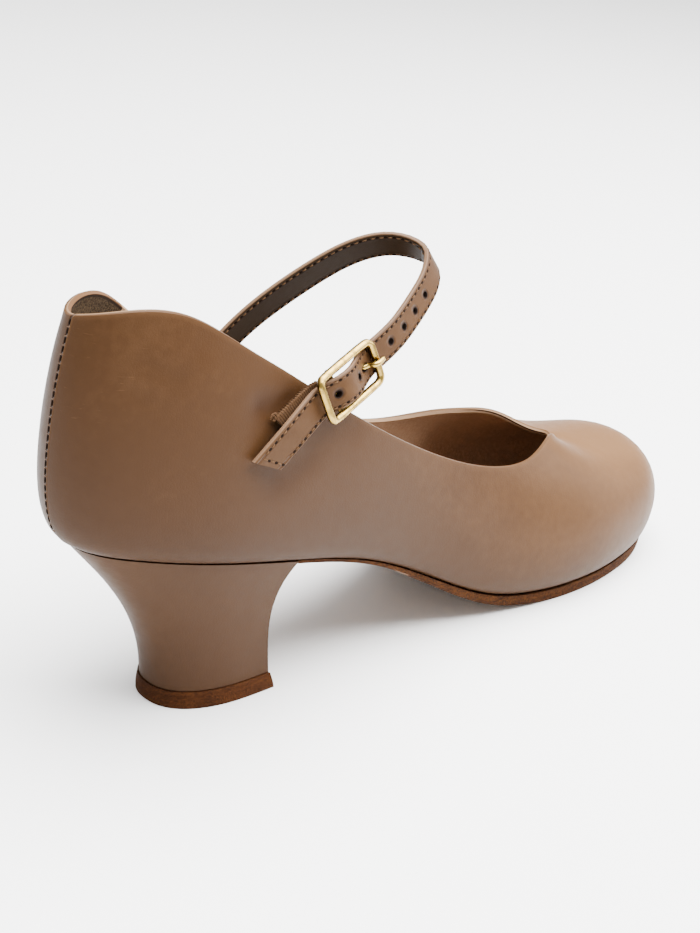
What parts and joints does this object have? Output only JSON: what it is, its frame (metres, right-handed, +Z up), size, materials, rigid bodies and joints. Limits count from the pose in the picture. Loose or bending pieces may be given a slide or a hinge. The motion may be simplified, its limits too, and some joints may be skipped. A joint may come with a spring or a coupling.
{
  "type": "character shoe",
  "caption": "Tan leather character shoe for the right foot, with a covered block heel, a thin leather sole and a narrow strap over the instep fastened by a pale brass buckle.",
  "frame": {"origin": "middle of the top lift's flat bottom face, on the floor", "axes": "+X from heel to toe, +Y to the foot's inner side, +Z up"},
  "size_m": [0.2472, 0.0761, 0.1234],
  "materials": {
    "upper_leather": "satin smooth tan leather",
    "sock_leather": "brown sock lining, matte",
    "sole_leather": "reddish brown split leather, matte edge",
    "heel_cover": "satin smooth tan leather stretched over the heel",
    "lift_fibre": "speckled dark brown lift, matte",
    "strap_leather": "tan leather, stitched along both edges",
    "pale_brass": "polished pale gold",
    "elastic": "tan woven elastic with stitched edge"
  },
  "bodies": {
    "root": {"upper": "upper_leather", "insole": "sock_leather", "outsole": "sole_leather", "heel": "heel_cover", "top_lift": "lift_fibre", "strap": "strap_leather", "buckle_frame": "pale_brass", "buckle_prong": "pale_brass", "buckle_tab": "elastic"}
  },
  "joints": []
}
